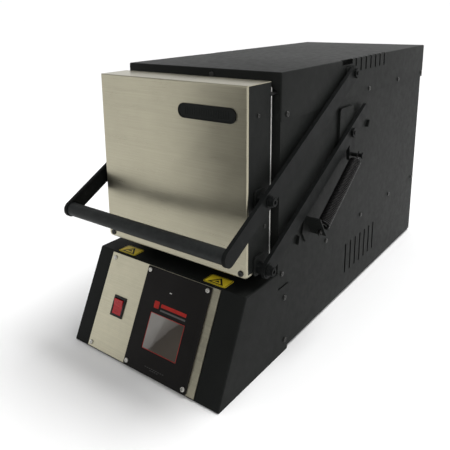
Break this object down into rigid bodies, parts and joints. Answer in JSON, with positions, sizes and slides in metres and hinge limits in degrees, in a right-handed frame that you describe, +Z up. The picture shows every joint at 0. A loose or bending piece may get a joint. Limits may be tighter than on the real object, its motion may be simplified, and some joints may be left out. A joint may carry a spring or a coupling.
{
  "type": "pottery kiln",
  "caption": "Front-loading electric box kiln: insulated steel case, lift-up door on a parallel linkage with side springs, sloped control panel.",
  "frame": {"origin": "centre of the base, on the surface the kiln stands on", "axes": "+Y to the back, so the door and the controls face -Y; +X to the right seen from the front; +Z up"},
  "size_m": [0.3652, 0.8246, 0.4537],
  "materials": {
    "black_steel": "fine-texture powder coat",
    "linkage_black": "satin black",
    "spring_steel": "oiled black",
    "stainless": "brushed",
    "zinc": "zinc plated",
    "black_screws": "black oxide",
    "panel_black": "satin black",
    "screen_glass": "glossy",
    "rocker_red": "glossy",
    "black_plastic": "semi-gloss",
    "caution_yellow": "printed label",
    "fibre": "ceramic fibre board",
    "firebrick": "porous insulating firebrick",
    "element_wire": "oxidised resistance wire",
    "ceramic": "ceramic sleeve",
    "galvanised": "galvanised",
    "board_green": "solder mask",
    "rubber": "matt"
  },
  "bodies": {
    "root": {"body_case": "black_steel", "cable_gland": "black_plastic", "case_screws": "black_screws", "case_studs_left": "linkage_black", "case_studs_right": "linkage_black", "caution_plates": "caution_yellow", "chamber_shelf": "galvanised", "control_housing": "black_steel", "controller_board": "board_green", "controller_plate": "panel_black", "cover_screws": "black_screws", "door_switch": "black_plastic", "element_left": "element_wire", "element_right": "element_wire", "fascia_screws": "zinc", "front_frame": "black_steel", "hearth_bricks": "firebrick", "housing_screws": "black_screws", "insulation_wrap": "fibre", "pivot_plate_left": "black_steel", "pivot_plate_right": "black_steel", "rear_brick": "firebrick", "rear_panel": "black_steel", "relays": "black_plastic", "rocker_bezel": "black_plastic", "roof_bricks": "firebrick", "rubber_feet": "rubber", "spring_bracket_left": "black_steel", "spring_bracket_right": "black_steel", "steel_fascia": "stainless", "terminal_block": "black_plastic", "thermocouple": "ceramic", "top_cover": "black_steel", "touch_screen": "screen_glass", "transformer": "galvanised", "wall_bricks_left": "firebrick", "wall_bricks_right": "firebrick"},
    "handle": {"grip_tube": "linkage_black", "lift_arm_left": "linkage_black", "lift_arm_right": "linkage_black"},
    "door": {"door_skin": "stainless", "door_case": "black_steel", "door_insulation": "fibre", "door_badge": "black_steel", "door_screws": "black_screws", "door_brackets_left": "black_steel", "door_brackets_right": "black_steel", "door_studs_left": "linkage_black", "door_studs_right": "linkage_black"},
    "link_left": {"lower_link_left": "linkage_black", "spring_stud_left": "linkage_black"},
    "link_right": {"lower_link_right": "linkage_black", "spring_stud_right": "linkage_black"},
    "spring_left": {"spring_left": "spring_steel"},
    "spring_right": {"spring_right": "spring_steel"},
    "rocker": {"rocker_key": "rocker_red"},
    "plunger": {"switch_plunger": "black_plastic"}
  },
  "joints": [
    {"name": "handle_lift", "type": "hinge", "parent": "root", "child": "handle", "pos_m": [0.157, -0.01467, 0.43], "axis": [-1, 0, 0], "range_deg": [0, 62]},
    {"name": "door_level", "type": "hinge", "parent": "handle", "child": "door", "pos_m": [0.157, -0.29764, 0.27865], "axis": [-1, 0, 0], "range_deg": [-62, 0]},
    {"name": "link_left_turn", "type": "hinge", "parent": "root", "child": "link_left", "pos_m": [-0.157, -0.01467, 0.325], "axis": [-1, 0, 0], "range_deg": [0, 62]},
    {"name": "link_right_turn", "type": "hinge", "parent": "root", "child": "link_right", "pos_m": [0.157, -0.01467, 0.325], "axis": [-1, 0, 0], "range_deg": [0, 62]},
    {"name": "spring_left_swing", "type": "hinge", "parent": "root", "child": "spring_left", "pos_m": [-0.1716, -0.15467, 0.19], "axis": [1, 0, 0], "range_deg": [0, 13.72], "deforming": ["spring_left"]},
    {"name": "spring_right_swing", "type": "hinge", "parent": "root", "child": "spring_right", "pos_m": [0.1716, -0.15467, 0.19], "axis": [1, 0, 0], "range_deg": [0, 13.72], "deforming": ["spring_right"]},
    {"name": "rocker_tilt", "type": "hinge", "parent": "root", "child": "rocker", "pos_m": [-0.074, -0.37455, 0.07084], "axis": [1, 0, 0], "range_deg": [-14, 0]},
    {"name": "plunger_travel", "type": "slide", "parent": "root", "child": "plunger", "axis": [0, -1, 0], "range_m": [0, 0.0031]}
  ],
  "couplings": [
    {"joint": "door_level", "follows": "handle_lift", "ratio": -1},
    {"joint": "link_left_turn", "follows": "handle_lift", "ratio": 1},
    {"joint": "link_right_turn", "follows": "handle_lift", "ratio": 1},
    {"joint": "spring_left_swing", "follows": "handle_lift", "ratio": 0.22056},
    {"joint": "spring_right_swing", "follows": "handle_lift", "ratio": 0.22056},
    {"joint": "plunger_travel", "follows": "handle_lift", "m_per_rad": 0.002772}
  ]
}
